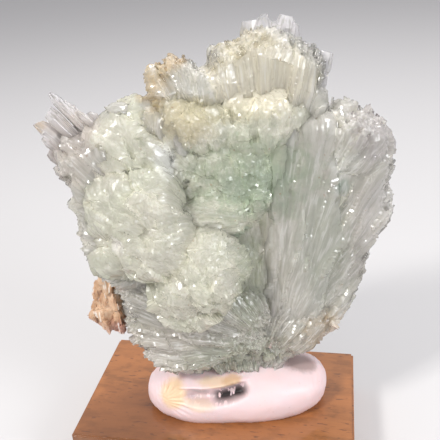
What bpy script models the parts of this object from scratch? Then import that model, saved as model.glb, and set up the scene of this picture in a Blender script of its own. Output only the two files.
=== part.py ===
"""Blue aragonite: sprays of pale mint crystals held in white putty on a varnished wooden block.

Sizes are millimetres, turned into metres where a mesh is made. The block's underside is at z = 0.
The specimen has a frame of its own: side (to the right), away (from the viewer) and up, measured
from the middle of the block's top and turned a little about the vertical.
"""

import math
import random
from collections import namedtuple

import bmesh
import bpy
from mathutils import Matrix, Vector

MM = 0.001
SEED = 7

# Clearance between pieces that touch.
GAP = 0.3

BLOCK_LONG = 100.0
BLOCK_DEEP = 57.0
BLOCK_THICK = 18.0
BLOCK_EDGE = 0.8

# Where the specimen's frame stands on the block's top, and how far it is turned.
SPECIMEN_SIDE = 5.4
SPECIMEN_AWAY = 0.2
SPECIMEN_TURN = 11.7

PUTTY_LONG = 66.0
PUTTY_DEEP = 31.0
PUTTY_TALL = 17.0
PUTTY_MIDDLE = (0.5, -2.5)
PUTTY_TURN = -3.0
PUTTY_BOXY = 0.8
FOLD_MIDDLE = (-9.0, -18.0, 9.5)
FOLD_RADII = (11.0, 3.8, 2.4)

CRYSTAL_SIDES = 5
TIP_SHARE = 0.45

# A crystal is left out where it would lean over further than this from its ball.
OUTWARD = 0.5

# The brown rock: a tall lump with a low one that sticks out beside it.
ROCK_UPPER = [(-46, -6, 46), (-45, 3, 45), (-38, -9, 44), (-36, 4, 44), (-45, -7, 54), (-44, 2, 56),
              (-42, -7, 61), (-41, 1, 62.5), (-37, -8, 60), (-35, 2, 61)]
ROCK_LOWER = [(-50, -4, 42), (-47, -8, 46.5), (-46.5, 1, 47), (-47, -3, 38.5), (-43, -9, 38),
              (-42, 3, 36.5), (-37, -8, 36), (-35, 2, 37), (-37, -9, 46), (-36, 2, 47)]

Fan = namedtuple("Fan", "root edge depth rows across girth droop start")
Burst = namedtuple("Burst", "root middle radii count girth length")

# Solid hearts that the sprays grow from, as corners in side, away and up.
HEARTS = {
    "middle": [(-16, -5, 24), (20, -5, 24), (-18, 9, 26), (20, 9, 26), (-20, -5, 60), (-18, 12, 62),
               (-12, 0, 108), (-12, 10, 108), (30, 1, 108), (30, 11, 108), (34, -2, 62), (34, 12, 62)],
    "left": [(-6, -8, 40), (-6, 8, 40), (-34, -12, 64), (-34, 4, 66), (-42, -12, 100), (-40, 2, 104),
             (-18, -8, 110), (-16, 6, 112), (0, -6, 104), (0, 8, 104)],
    "right": [(16, -8, 24), (18, 9, 24), (33, -4, 34), (34, 8, 34), (46, -5, 70), (46, 10, 70),
              (47, -3, 98), (46, 9, 98), (34, -4, 105), (32, 9, 106), (16, -8, 80)],
    "lower_left": [(-4, -14, 26), (-6, 8, 24), (-26, -12, 27), (-24, 6, 26), (-37, -10, 38), (-35, 4, 38),
                   (-38, -11, 60), (-36, 5, 62), (-8, -12, 62), (-6, 8, 60)],
    "upper_left": [(-1, -5, 100), (-1, 3, 100), (-15, -6, 112), (-15, 1, 112), (-15, -5, 122),
                   (-8, -5, 126), (-8, 0, 126), (0, -3, 118), (0, 2, 118)],
    "top": [(4, -3, 100), (26, -3, 100), (5, 9, 100), (26, 10, 100), (1, -3, 122), (1, 7, 122),
            (11, -2, 127), (19, 9, 128), (29, -2, 120), (28, 9, 120)],
}

# Flat sprays. The edge is where the tips end, in side, away and up.
FANS = {
    "left": Fan(
        root=(-4, -3, 60),
        edge=[(-31, -4, 115), (-40, -6, 113), (-48, -8, 121.5), (-52, -8, 113), (-49, -8, 103),
              (-50.5, -8, 99), (-45, -8, 91), (-47, -8, 82), (-45, -8, 74), (-46.5, -8, 72), (-40, -8, 64)],
        depth=15, rows=2, across=11, girth=6.2, droop=0.07, start=0.58),
    "shoulder": Fan(
        root=(-2, -2, 72),
        edge=[(-31, -4, 115.5), (-25, -4, 114), (-20, -3, 116), (-10, -3, 115), (0, -3, 113)],
        depth=14, rows=2, across=5, girth=6.8, droop=0.06, start=0.6),
    "upper_left": Fan(
        root=(0, -1, 96),
        edge=[(-18, -3, 117), (-19.5, -3, 125), (-17, -3, 128), (-14, -3, 130.5), (-9.5, -3, 130.5),
              (-4, -3, 125)],
        depth=8, rows=2, across=5, girth=5.4, droop=0.08, start=0.4),
    "top": Fan(
        root=(13, 3, 62),
        edge=[(-1.5, 3, 133), (4, 3, 134), (9, 3, 138), (14, 4, 141), (20, 4, 140), (25, 4, 138.5),
              (30, 3, 131.5), (34, 3, 126.5), (32, 3, 120)],
        depth=12, rows=2, across=7, girth=6.8, droop=0.03, start=0.7),
    "right": Fan(
        root=(8, 1, 18),
        edge=[(32, 3, 111), (38, 3, 111), (44, 3, 111), (49.5, 3, 108.5), (54, 3, 101.5), (56, 3, 93),
              (54, 3, 87), (57, 3, 77), (54, 3, 71), (50, 3, 62), (47.5, 3, 51), (44, 3, 43.5),
              (39, 2, 37.5), (33, 1, 32)],
        depth=18, rows=2, across=13, girth=7.6, droop=0.05, start=0.64),
    "panel": Fan(
        root=(10, -4, 16),
        edge=[(13, -6, 96), (18, -7, 108), (25, -7, 110), (33, -5, 108), (42, -4, 100)],
        depth=4, rows=1, across=6, girth=8.0, droop=0.0, start=0.25),
    "lower_left": Fan(
        root=(8, -2, 26),
        edge=[(-39, -6, 50), (-37, -6, 40), (-35, -6, 34), (-31, -5, 24), (-25, -4, 18)],
        depth=16, rows=2, across=5, girth=7.0, droop=0.08, start=0.62),
}

# Rounded sprays, whose tips end on a squashed ball.
BURSTS = {
    "front_left_lobe": Burst((-2, 2, 62), (-24, -13, 81), (18, 12, 20), 28, 7.2, 12),
    "front_middle_lobe": Burst((2, 4, 46), (-7, -15, 64), (12.5, 10, 16), 20, 6.4, 11),
    "ledge": Burst((6, 12, 84), (2, -1, 108), (22, 8, 10), 14, 6.8, 9),
    "recess": Burst((4, 9, 82), (4, 0, 88), (17, 6, 15), 7, 7.4, 8),
    "lower_front_lobe": Burst((5, 2, 20), (-8, -7, 38), (22, 12, 18), 17, 7.6, 13),
    "lower_right_lobe": Burst((6, 2, 18), (19, -3, 36), (14, 9, 13), 10, 6.8, 10),
    "back_left_lobe": Burst((-2, -4, 62), (-21, 6, 86), (22, 13, 25), 19, 8.2, 12),
    "back_right_lobe": Burst((10, -2, 46), (29, 8, 78), (22, 13, 27), 19, 8.2, 12),
    "back_middle_lobe": Burst((6, -2, 72), (3, 7, 92), (19, 10, 20), 15, 7.6, 10),
    "back_lower_lobe": Burst((4, -2, 20), (2, 6, 46), (26, 14, 24), 19, 8.2, 12),
}

# Single large crystals: foot, tip and girth.
BLADES = [
    ((-34, -7, 101), (-48, -8, 122.5), 5.0),
    ((-36, -8, 97), (-53, -8, 114), 6.5),
    ((11, 8, 118), (12.5, 9, 140), 8.0),
    ((17, 8, 118), (18.5, 9, 138.5), 6.5),
    ((23, 8, 118), (25, 9, 138.5), 5.5),
    ((24, 5, 104), (34.5, 4, 126), 7.5),
]


def clear_scene():
    for thing in list(bpy.data.objects):
        bpy.data.objects.remove(thing, do_unlink=True)


def make_material(name, colour, roughness):
    material = bpy.data.materials.new(name)
    material.use_nodes = True
    shader = material.node_tree.nodes["Principled BSDF"]
    shader.inputs["Base Color"].default_value = (*colour, 1.0)
    shader.inputs["Roughness"].default_value = roughness
    shader.inputs["Metallic"].default_value = 0.0
    return material


def add_object(name, mesh, parent=None):
    thing = bpy.data.objects.new(name, mesh)
    bpy.context.scene.collection.objects.link(thing)
    thing.parent = parent
    return thing


def hull_mesh(name, points):
    """A closed convex mesh around points given in millimetres."""
    shape = bmesh.new()
    for point in points:
        shape.verts.new(Vector(point) * MM)
    made = bmesh.ops.convex_hull(shape, input=shape.verts)
    spare = set(made["geom_interior"]) | set(made["geom_unused"])
    inner = [part for part in spare if isinstance(part, bmesh.types.BMVert)]
    bmesh.ops.delete(shape, geom=inner, context="VERTS")
    bmesh.ops.recalc_face_normals(shape, faces=shape.faces)
    mesh = bpy.data.meshes.new(name)
    shape.to_mesh(mesh)
    shape.free()
    return mesh


def crystal_points(foot, tip, girth, turn, flatness, chisel):
    """Corners of one tapered crystal that ends in a short roof."""
    axis = tip - foot
    length = axis.length
    axis.normalize()
    wide = axis.orthogonal().normalized()
    wide.rotate(Matrix.Rotation(turn, 3, axis))
    thin = axis.cross(wide)
    shoulder = foot + axis * max(length - girth * TIP_SHARE, length * 0.55)
    points = []
    for corner in range(CRYSTAL_SIDES):
        angle = math.tau / CRYSTAL_SIDES * corner
        out = wide * math.cos(angle) + thin * math.sin(angle) * flatness
        points.append(foot + out * girth * 0.32)
        points.append(shoulder + out * girth * 0.5)
    points.append(tip + wide * girth * chisel)
    points.append(tip - wide * girth * chisel)
    return points


def add_crystal(folder, foot, tip, girth, dice):
    """Adds one crystal to the collection of shapes that will be fused."""
    points = crystal_points(foot, tip, girth * dice.uniform(0.8, 1.2), dice.uniform(0, math.pi),
                            dice.uniform(0.6, 0.95), dice.uniform(0.1, 0.3))
    thing = bpy.data.objects.new("crystal", hull_mesh("crystal", points))
    folder.objects.link(thing)


def along(edge, share):
    """The point at a share of the length of a line through the edge's points."""
    points = [Vector(point) for point in edge]
    lengths = [(b - a).length for a, b in zip(points, points[1:])]
    left = share * sum(lengths)
    for start, end, length in zip(points, points[1:], lengths):
        if left <= length:
            return start.lerp(end, left / length)
        left -= length
    return points[-1]


def fan_shapes(folder, fan, dice):
    root = Vector(fan.root)
    for row in range(fan.rows):
        offset = (row + 0.5) / fan.rows - 0.5
        for step in range(fan.across - row % 2):
            share = (step + 0.5 * (row % 2) + dice.uniform(-0.15, 0.15)) / (fan.across - 1)
            reach = along(fan.edge, min(max(share, 0.0), 1.0)) - root
            reach *= 1 - fan.droop * (2 * offset) ** 2 - dice.uniform(0, 0.05)
            tip = root + reach + Vector((0, offset * fan.depth, 0))
            add_crystal(folder, root.lerp(tip, fan.start), tip, fan.girth, dice)


def ball_points(count):
    """Directions spread evenly over a ball."""
    for step in range(count):
        up = 1 - 2 * (step + 0.5) / count
        around = step * math.pi * (3 - math.sqrt(5))
        flat = math.sqrt(1 - up * up)
        yield Vector((flat * math.cos(around), flat * math.sin(around), up))


def burst_shapes(folder, burst, dice):
    root = Vector(burst.root)
    middle = Vector(burst.middle)
    radii = Vector(burst.radii)
    heart = [root] + [middle + way * radii * 0.8 for way in ball_points(18)]
    folder.objects.link(bpy.data.objects.new("heart", hull_mesh("heart", heart)))
    for way in ball_points(burst.count * 2):
        tip = middle + way * radii * dice.uniform(0.96, 1.04)
        reach = (tip - root).normalized()
        if reach.dot(way) < OUTWARD:
            continue
        foot = tip - reach * min(burst.length, (tip - root).length * 0.8)
        add_crystal(folder, foot, tip, burst.girth, dice)


def fuse(target, folder):
    """Joins every shape of a collection to the target, as one solid."""
    join = target.modifiers.new("join", "BOOLEAN")
    join.operation = "UNION"
    join.operand_type = "COLLECTION"
    join.collection = folder
    join.solver = "EXACT"
    join.use_self = True


def cut_away(target, cutter):
    """Cuts one hidden shape out of the target."""
    cut = target.modifiers.new("cut", "BOOLEAN")
    cut.operation = "DIFFERENCE"
    cut.object = cutter
    cut.solver = "EXACT"


def bake(target):
    """Turns an object's modifiers into its mesh."""
    seen = target.evaluated_get(bpy.context.evaluated_depsgraph_get())
    mesh = bpy.data.meshes.new_from_object(seen)
    target.modifiers.clear()
    target.data = mesh


def fill_hollows(target):
    """Drops the inner skins of any voids that the fused crystals enclose."""
    shape = bmesh.new()
    shape.from_mesh(target.data)
    left = set(shape.faces)
    shells = []
    while left:
        shell = {left.pop()}
        front = list(shell)
        while front:
            near = {face for edge in front.pop().edges for face in edge.link_faces} - shell
            shell |= near
            front.extend(near)
        left -= shell
        shells.append(shell)
    outer = max(shells, key=lambda shell: sum(face.calc_area() for face in shell))
    spare = [face for face in shape.faces if face not in outer]
    bmesh.ops.delete(shape, geom=spare, context="FACES")
    shape.to_mesh(target.data)
    shape.free()


def remove(things):
    for thing in list(things):
        bpy.data.objects.remove(thing, do_unlink=True)


def make_block():
    shape = bmesh.new()
    bmesh.ops.create_cube(shape, size=1.0)
    size = Vector((BLOCK_LONG, BLOCK_DEEP, BLOCK_THICK)) * MM
    bmesh.ops.scale(shape, vec=size, verts=shape.verts)
    bmesh.ops.translate(shape, vec=Vector((0, 0, size.z / 2)), verts=shape.verts)
    bmesh.ops.bevel(shape, geom=shape.edges[:], offset=BLOCK_EDGE * MM, segments=2, affect="EDGES")
    mesh = bpy.data.meshes.new("wooden_block")
    shape.to_mesh(mesh)
    shape.free()
    block = add_object("wooden_block", mesh)
    block.data.materials.append(make_material("varnished_wood", (0.42, 0.2, 0.08), 0.25))
    return block


def ball_mesh(name, middle, radii, rings, sides, turn=0.0, boxy=1.0, flat_foot=None):
    """A squashed ball, squarer as boxy falls; where flat_foot is given, nothing reaches lower."""
    shape = bmesh.new()
    bmesh.ops.create_uvsphere(shape, u_segments=sides, v_segments=rings, radius=1.0)
    for point in shape.verts:
        bulge = Vector([math.copysign(abs(value) ** boxy, value) for value in point.co])
        place = bulge * Vector(radii)
        place.rotate(Matrix.Rotation(math.radians(turn), 3, "Z"))
        point.co = (place + Vector(middle)) * MM
    mesh = bpy.data.meshes.new(name)
    if flat_foot is not None:
        bmesh.ops.bisect_plane(shape, geom=shape.verts[:] + shape.edges[:] + shape.faces[:],
                               plane_co=Vector((0, 0, flat_foot * MM)), plane_no=Vector((0, 0, 1)),
                               clear_inner=True)
        rim = [edge for edge in shape.edges if edge.is_boundary]
        bmesh.ops.holes_fill(shape, edges=rim, sides=0)
    shape.to_mesh(mesh)
    shape.free()
    return mesh


def putty_blank(name, swell):
    """The pressed lump of putty; swell makes it larger all round, to clear what touches it."""
    middle = (PUTTY_MIDDLE[0], PUTTY_MIDDLE[1], PUTTY_TALL * 0.36)
    radii = (PUTTY_LONG / 2 + swell, PUTTY_DEEP / 2 + swell, PUTTY_TALL * 0.64 + swell)
    return ball_mesh(name, middle, radii, 8, 24, PUTTY_TURN, PUTTY_BOXY, GAP)


def keel_points(swell):
    """The specimen's foot, which the putty grips."""
    low = 9.5 - swell
    points = []
    for side in (-1, 1):
        for away in (-1, 1):
            points.append((2 + side * (12 + swell), -1 + away * (4.5 + swell), low))
            points.append((2 + side * (22 + swell), away * (9 + swell), 34))
    return points


def rock_points(corners, swell):
    """A broken lump's corners, moved outwards by swell."""
    middle = sum((Vector(corner) for corner in corners), Vector()) / len(corners)
    return [Vector(corner) + (Vector(corner) - middle).normalized() * swell for corner in corners]


def make_rock(name, swell):
    """The two lumps of brown rock beside the lower left spray, fused."""
    rock = add_object(name, hull_mesh(name, rock_points(ROCK_UPPER, swell)))
    folder = bpy.data.collections.new("rock")
    lower = bpy.data.objects.new("lower", hull_mesh("lower", rock_points(ROCK_LOWER, swell)))
    folder.objects.link(lower)
    fuse(rock, folder)
    bake(rock)
    bpy.data.objects.remove(lower, do_unlink=True)
    bpy.data.collections.remove(folder)
    return rock


def spray_shapes(folder):
    """Every heart and crystal of the specimen, ready to be fused."""
    dice = random.Random(SEED)
    for name, corners in HEARTS.items():
        folder.objects.link(bpy.data.objects.new(name, hull_mesh(name, corners)))
    for fan in FANS.values():
        fan_shapes(folder, fan, dice)
    for burst in BURSTS.values():
        burst_shapes(folder, burst, dice)
    for foot, tip, girth in BLADES:
        add_crystal(folder, Vector(foot), Vector(tip), girth, dice)


def make_cluster(stand):
    """The whole specimen is one solid: hearts and crystals fused, then a foot that the putty grips."""
    folder = bpy.data.collections.new("sprays")
    spray_shapes(folder)
    cluster = add_object("aragonite_cluster", hull_mesh("aragonite_cluster", keel_points(0)))
    fuse(cluster, folder)
    bake(cluster)
    remove(folder.objects)
    clear_putty = add_object("clear_putty", putty_blank("clear_putty", GAP))
    clear_rock = make_rock("clear_rock", GAP * 1.5)
    cut_away(cluster, clear_putty)
    cut_away(cluster, clear_rock)
    bake(cluster)
    foot = bpy.data.objects.new("foot", hull_mesh("foot", keel_points(0)))
    folder.objects.link(foot)
    fuse(cluster, folder)
    bake(cluster)
    fill_hollows(cluster)
    remove([foot, clear_putty, clear_rock])
    bpy.data.collections.remove(folder)
    cluster.parent = stand
    cluster.data.materials.append(make_material("pale_mint_aragonite", (0.62, 0.72, 0.6), 0.3))


def make_putty(stand):
    """The lump of putty, with a pocket for the foot and the slot under its folded lip."""
    putty = add_object("mounting_putty", putty_blank("mounting_putty", 0))
    pocket = add_object("pocket", hull_mesh("pocket", keel_points(GAP)))
    fold = add_object("fold", ball_mesh("fold", FOLD_MIDDLE, FOLD_RADII, 6, 12))
    cut_away(putty, pocket)
    cut_away(putty, fold)
    bake(putty)
    remove([pocket, fold])
    putty.parent = stand
    putty.data.materials.append(make_material("white_putty", (0.85, 0.8, 0.8), 0.6))


def make_stained_rock(stand):
    rock = make_rock("stained_matrix", 0)
    rock.parent = stand
    rock.data.materials.append(make_material("brown_matrix", (0.55, 0.3, 0.18), 0.8))


def main():
    clear_scene()
    make_block()
    stand = add_object("specimen", None)
    stand.location = Vector((SPECIMEN_SIDE, SPECIMEN_AWAY, BLOCK_THICK)) * MM
    stand.rotation_euler.z = math.radians(SPECIMEN_TURN)
    make_cluster(stand)
    make_putty(stand)
    make_stained_rock(stand)


main()
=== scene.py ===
import math
from collections import namedtuple

import bmesh
import bpy
import numpy as np
from bpy.props import FloatProperty, FloatVectorProperty, PointerProperty
from mathutils import Matrix, Vector, kdtree, noise


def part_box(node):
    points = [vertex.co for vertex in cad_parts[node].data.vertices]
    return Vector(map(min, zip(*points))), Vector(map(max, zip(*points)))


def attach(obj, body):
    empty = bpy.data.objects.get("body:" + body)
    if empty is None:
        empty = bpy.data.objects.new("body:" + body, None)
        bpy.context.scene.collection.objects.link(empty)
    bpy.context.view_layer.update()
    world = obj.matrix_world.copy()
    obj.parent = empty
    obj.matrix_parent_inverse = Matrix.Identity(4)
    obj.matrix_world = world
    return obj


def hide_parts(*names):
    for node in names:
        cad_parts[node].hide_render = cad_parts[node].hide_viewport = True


bl_info = {
    "name": "Blue Aragonite Specimen",
    "version": (1, 0, 0),
    "blender": (4, 5, 0),
    "location": "View3D > Sidebar > Specimen",
    "description": "Grows the needles, putty, rock and block of an aragonite specimen around its frame",
    "category": "Add Mesh",
}

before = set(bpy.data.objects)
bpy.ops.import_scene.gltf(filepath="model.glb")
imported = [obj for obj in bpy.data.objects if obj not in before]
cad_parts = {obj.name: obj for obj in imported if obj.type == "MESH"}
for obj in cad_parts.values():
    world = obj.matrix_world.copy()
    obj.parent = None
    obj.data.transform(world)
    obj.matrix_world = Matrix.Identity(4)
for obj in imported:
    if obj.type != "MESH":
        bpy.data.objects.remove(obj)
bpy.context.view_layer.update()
BLOCK_TOP = Vector(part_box("wooden_block")[1]).z

# Millimetres to metres.
MM = 0.001

# The specimen's own frame on the block's top: side, away and up in millimetres, turned about the vertical.
SPECIMEN_SIDE = 5.4
SPECIMEN_AWAY = 0.2
SPECIMEN_TURN = 11.7

# How far below the needles' ends the milky heart lies, in millimetres, and the share of a fan that it fills.
CORE_BELOW = 0.3
WEB_REACH = 0.97

# The bodies' bundles: how soon they break off along their length, then for each size of bundle its share of
# the group's width, how unevenly the bundles end and how far their ends tilt.
BUNDLE_BREAK = 0.0014
BUNDLE_SIZES = [(2.7, 0.5, 8.0), (1.0, 0.24, 10.0), (0.45, 0.07, 6.0)]
BUNDLE_SEED = 5

# The angle in degrees above which an edge stays sharp, and how far the hollows between two masses fill up.
CORE_CREASE = 24.0
BLEND_RISE = 2.4
BLEND_REACH = 4.5

# How far from a fan's rim its bundles stand out more, and how much more.
RIM_REACH = 6.0
RIM_GAIN = 0.9

# The share of a fan's needles that stand out of its rim.
RIM_NEEDLES = 0.25

# Points this far outside all masses, and this near a fan's edge, have fibres from the fan's root. Distances
# to an edge count less in depth.
FAN_OUTSIDE = 1.5
FAN_NEAR = 26.0
EDGE_DEPTH = np.array([1, 0.3, 1])

# How finely the lobes and slabs are divided before they are fused, and how wide and tall their swellings are.
LOBE_SEGMENTS = 48
LOBE_RINGS = 24
SLAB_CUTS = 15
SWELL_WIDE = 7.0
FIBRE_SWELL_WIDE = 0.02
FIBRE_SWELL_TALL = 0.04

# Loose needles: how deep in a neighbour one may start, how far its surface may face away from the root, at
# what facing needles begin to lie down and over what range, how many make a bundle, and how mixed girths are.
NEEDLE_BURIED = 1.2
NEEDLE_BACKWARD = -0.25
LAY_START = 0.95
LAY_RANGE = 0.2
BUNDLE_NEEDLES = 12
GIRTH_SPREAD = 0.35

# One shape of needle: its sides, how high its end stands in girths, how the end narrows each way, and whether
# the end and the foot come to a point.
NeedleShape = namedtuple("NeedleShape", "sides lift narrow sharp_end sharp_foot")
NEEDLE_SHAPES = [
    NeedleShape(5, 0.35, (0.5, 0.5, 1), True, True),
    NeedleShape(5, 0.2, (0.85, 0.4, 1), False, True),
    NeedleShape(4, 0.3, (0.5, 0.5, 1), False, False),
    NeedleShape(6, 0.3, (0.5, 0.85, 1), False, False),
    NeedleShape(5, 0.1, (0.8, 0.8, 1), False, True),
]

# How far the clay-like putty stands above the block, in millimetres.
PUTTY_TALL = 17.0

# A rounded mass: its needles start at the root and end on a squashed ball. All sizes are in millimetres:
# lump is how far the surface swells, girth and reach are a needle's thickness and length, rough is how
# unevenly the bundles end, lay is 0 where needles stand on the surface and 1 where they lie along it, and
# tangle is how far they lie across each other.
Ball = namedtuple("Ball", "root middle radii lump girth reach rough lay tangle", defaults=[0.0])

# A slab of needles: a convex mass given by its corners.
Slab = namedtuple("Slab", "root corners lump girth reach rough lay tangle", defaults=[0.0])

# A fan of free ends: its tips follow an edge, in rows through its depth.
Fan = namedtuple("Fan", "root edge depth girth reach spacing droop")


def specimen_matrix():
    """From the specimen's millimetres to the world's metres."""
    spot = Vector((SPECIMEN_SIDE * MM, SPECIMEN_AWAY * MM, BLOCK_TOP))
    turn = Matrix.Rotation(math.radians(SPECIMEN_TURN), 4, "Z")
    return Matrix.Translation(spot) @ turn @ Matrix.Scale(MM, 4)


TO_WORLD = specimen_matrix()


def place(side, away, up):
    """A point of the specimen's frame, in the world."""
    return TO_WORLD @ Vector((side, away, up))


FRONT_MASSES = {
    "upper_left_front": Ball((-2, 4, 64), (-27, -10.5, 87), (14, 9.8, 12), 2.0, 1.1, 4.0, 0.6, 0.0),
    "left_front": Ball((-2, 4, 60), (-30, -10.5, 74), (12, 8.8, 10), 2.0, 1.1, 4.0, 0.6, 0.0),
    "middle_front": Ball((-2, 4, 58), (-23, -13.2, 75), (11.5, 8.6, 12), 1.6, 1.1, 4.0, 0.6, 0.0),
    "tongue": Ball((2, 4, 54), (-5, -15, 65.5), (10, 8.5, 10), 1.4, 1.0, 3.5, 0.5, 0.0),
    "tongue_foot": Ball((2, 4, 46), (-12, -14, 56), (10.5, 8.5, 11.5), 1.6, 1.0, 3.5, 0.5, 0.1),
    "shoulder_front": Ball((-6, 2, 66), (-28, -7, 100), (12, 8, 12), 1.6, 1.0, 4.0, 0.5, 0.3),
    "shoulder_knobs": Ball((-8, 4, 80), (-21, -3, 108), (12, 7.5, 7), 2.4, 1.0, 4.0, 0.5, 0.0),
}

MIDDLE_MASSES = {
    "ledge": Ball((4, 10, 88), (-9, -3, 108.5), (14, 8, 8), 1.8, 1.1, 4.5, 0.6, 0.0),
    "upper_middle": Ball((8, 12, 78), (12, -1, 107), (15, 7.5, 11), 2.0, 1.1, 4.5, 0.6, 0.0),
    "recess": Ball((6, 20, 70), (2, 1, 90), (26, 10, 18), 1.8, 0.6, 4.0, 0.9, 0.7, 0.7),
    "seam": Ball((10, -6, 20), (18, -3, 82), (6, 4.8, 30), 0.6, 0.8, 8.0, 0.5, 0.95),
    "shelf": Ball((15, -10, 77), (-6, -8.3, 79), (12.5, 5, 6.5), 0.6, 0.8, 6.0, 0.6, 0.9),
    "ledge_side": Ball((2, 10, 80), (-14.5, -3, 98), (9, 6.5, 13), 1.6, 1.0, 4.5, 0.6, 0.0),
    "middle": Slab((6, 2, 12), [
        (-16, -7, 22), (20, -7, 22), (-18, 9, 24), (20, 9, 24), (-20, -7.5, 60), (-18, 12, 62),
        (-12, 3, 106), (-12, 10, 106), (30, 3, 106), (30, 11, 106), (34, -4, 62), (34, 12, 62),
        (8, -7.5, 64)
    ], 1.2, 0.75, 16.0, 0.8, 0.9),
}

LEFT_MASSES = {
    "left": Slab((-4, -3, 58), [
        (-6, -3, 42), (-6, 8, 42), (-34, -11, 64), (-34, 4, 66), (-42, -12, 98), (-40, 2, 102),
        (-30, -10, 108), (-26, -5, 110), (-16, 6, 112), (-6, 2, 104), (0, 8, 104)
    ], 1.4, 0.8, 12.0, 0.8, 0.75),
}
LEFT_FANS = {
    "left": Fan((-4, -3, 58), [
        (-31, -5, 113), (-38, -6, 111.5), (-44, -7, 112), (-49, -8, 110), (-49.5, -8, 104),
        (-50.5, -8, 99.5), (-46, -8, 94), (-45.5, -8, 90), (-47, -8, 83), (-44.5, -8, 79),
        (-46.5, -8, 73.5), (-41, -8, 66), (-37, -8, 61)
    ], 15, 0.9, 16, 1.0, 0.1),
    "shoulder": Fan((-8, -2, 74), [
        (-34, -5, 112), (-30, -4, 115.5), (-26, -4, 113.5), (-21.5, -3, 116.3), (-17, -3, 114.5),
        (-13, -3, 112)
    ], 13, 0.85, 12, 0.95, 0.08),
}

CROWN_MASSES = {
    "upper_left": Slab((0, -1, 94), [
        (-1, -5, 98), (-1, 3, 98), (-14, -6, 112), (-14, 1, 112), (-15, -5, 121), (-9, -5, 124),
        (-9, 0, 124), (-1, -3, 118), (-1, 2, 118)
    ], 0.8, 0.65, 9.0, 0.8, 0.9),
    "top": Slab((13, 3, 66), [
        (3, -4, 98), (27, -4, 98), (4, 9, 98), (27, 10, 98), (1, -4, 122), (1, 6, 122), (11, -3, 128),
        (19, 8, 128), (29, -2, 121), (28, 9, 121)
    ], 0.9, 0.65, 12.0, 0.8, 1.0),
}
CROWN_FANS = {
    "upper_left": Fan((0, -1, 94), [
        (-17, -3, 116.5), (-18.3, -3, 119), (-19.3, -3, 123), (-19, -3, 127), (-15, -3, 128),
        (-13.5, -3, 130.5), (-11, -3, 129), (-9.5, -3, 130.5), (-6.5, -3, 127.5), (-3, -3, 124)
    ], 8, 0.85, 12, 0.9, 0.08),
    "top": Fan((13, 3, 66), [
        (-1.8, 1, 126), (-1.4, 1, 131), (1.5, 1, 132), (4, 1, 132.3), (7, 1, 133), (10, 2, 134.5),
        (14, 2, 135.5), (19, 2, 135), (23, 2, 134), (27, 2, 131), (31, 2, 128.5), (33.3, 3, 125.5),
        (31, 3, 121), (31.5, 3, 117), (32, 3, 112)
    ], 12, 0.85, 14, 0.95, 0.05),
}

RIGHT_MASSES = {
    "right": Slab((9, 1, 14), [
        (16, -7, 24), (18, 9, 24), (33, -5, 33), (34, 8, 33), (44, -5, 48), (44, 9, 48), (49, -4, 72),
        (48, 10, 72), (49, -2, 97), (46, 9, 98), (34, -4, 106), (32, 9, 106), (16, -8, 80)
    ], 1.2, 0.7, 14.0, 0.8, 0.95),
    "panel": Slab((12, -6, 12), [
        (13, -9, 34), (24, -10, 30), (10, -4, 30), (28, -4, 28), (17, -8, 84), (22, -6, 104),
        (33, -6, 106), (36, -7, 70), (34, -2, 108), (18, -1, 106), (36, -3, 50)
    ], 0.8, 0.5, 15.0, 0.5, 1.0),
    "right_shoulder": Ball((16, 2, 60), (41, 1, 98), (12.5, 8, 10.5), 1.4, 0.6, 6.0, 0.5, 0.9),
}
RIGHT_FANS = {
    "right": Fan((9, 1, 14), [
        (31, 2, 108), (34, 2, 109.5), (37, 2, 109.5), (40.4, 3, 110), (44, 3, 109.5), (48, 3, 108),
        (51.5, 3, 105), (53.5, 3, 100), (55.5, 3, 95), (57, 3, 91), (54.5, 3, 88), (55, 3, 83),
        (57, 3, 78), (57.2, 3, 74.5), (53.5, 3, 71), (51.5, 3, 66), (49.5, 3, 60), (49.5, 3, 57),
        (48, 3, 51), (45.5, 3, 45), (42, 3, 39.5), (37, 2, 34), (32, 1, 29.5), (25, 0, 24)
    ], 15, 0.9, 20, 1.05, 0.07),
}

LOWER_MASSES = {
    "foot": Slab((2, -1, 0), [
        (-10, -5.5, 9.5), (-10, 3.5, 9.5), (14, -5.5, 9.5), (14, 3.5, 9.5), (-19, -7, 34), (-19, 9, 34),
        (23, -7, 34), (23, 9, 34)
    ], 0.5, 0.9, 12.0, 0.6, 0.9),
    "lower_left": Slab((12, -8, 30), [
        (-4, -11.5, 27.5), (-6, 8, 24), (-24, -9.5, 27.5), (-22, 6, 25), (-34, -10, 38), (-33, 4, 38),
        (-36, -11, 58), (-34, 5, 60), (-8, -12, 60), (-6, 8, 58)
    ], 1.6, 1.4, 9.0, 1.6, 0.8),
    "lower_front": Ball((16, -12, 30), (-7, -3.8, 40), (21, 10, 17.5), 1.0, 1.3, 8.0, 1.5, 0.8),
    "lower_right": Ball((4, -8, 12), (20, -2, 36), (14, 8.0, 14), 1.0, 0.8, 9.0, 0.9, 0.85),
}
LOWER_FANS = {
    "lower_left": Fan((12, -6, 30), [
        (-37, -6, 60), (-38, -6, 52), (-36.5, -6, 42), (-34, -6, 34), (-30.5, -5, 25), (-27, -4, 21),
        (-23, -4, 18.5)
    ], 15, 1.2, 14, 1.3, 0.08),
}

BACK_MASSES = {
    "back_left": Ball((-2, -4, 60), (-21, 6, 86), (21, 12.5, 24), 2.6, 1.4, 8.0, 1.2, 0.1),
    "back_middle": Ball((6, -2, 70), (3, 7, 92), (18, 9.5, 19), 2.2, 1.4, 8.0, 1.2, 0.1),
    "back_right": Ball((10, -2, 44), (29, 8, 78), (21, 12.5, 26), 2.6, 1.4, 8.0, 1.2, 0.3),
    "back_lower": Ball((4, -2, 18), (2, 6, 46), (25, 13.5, 23), 2.6, 1.5, 8.0, 1.2, 0.3),
}

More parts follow.
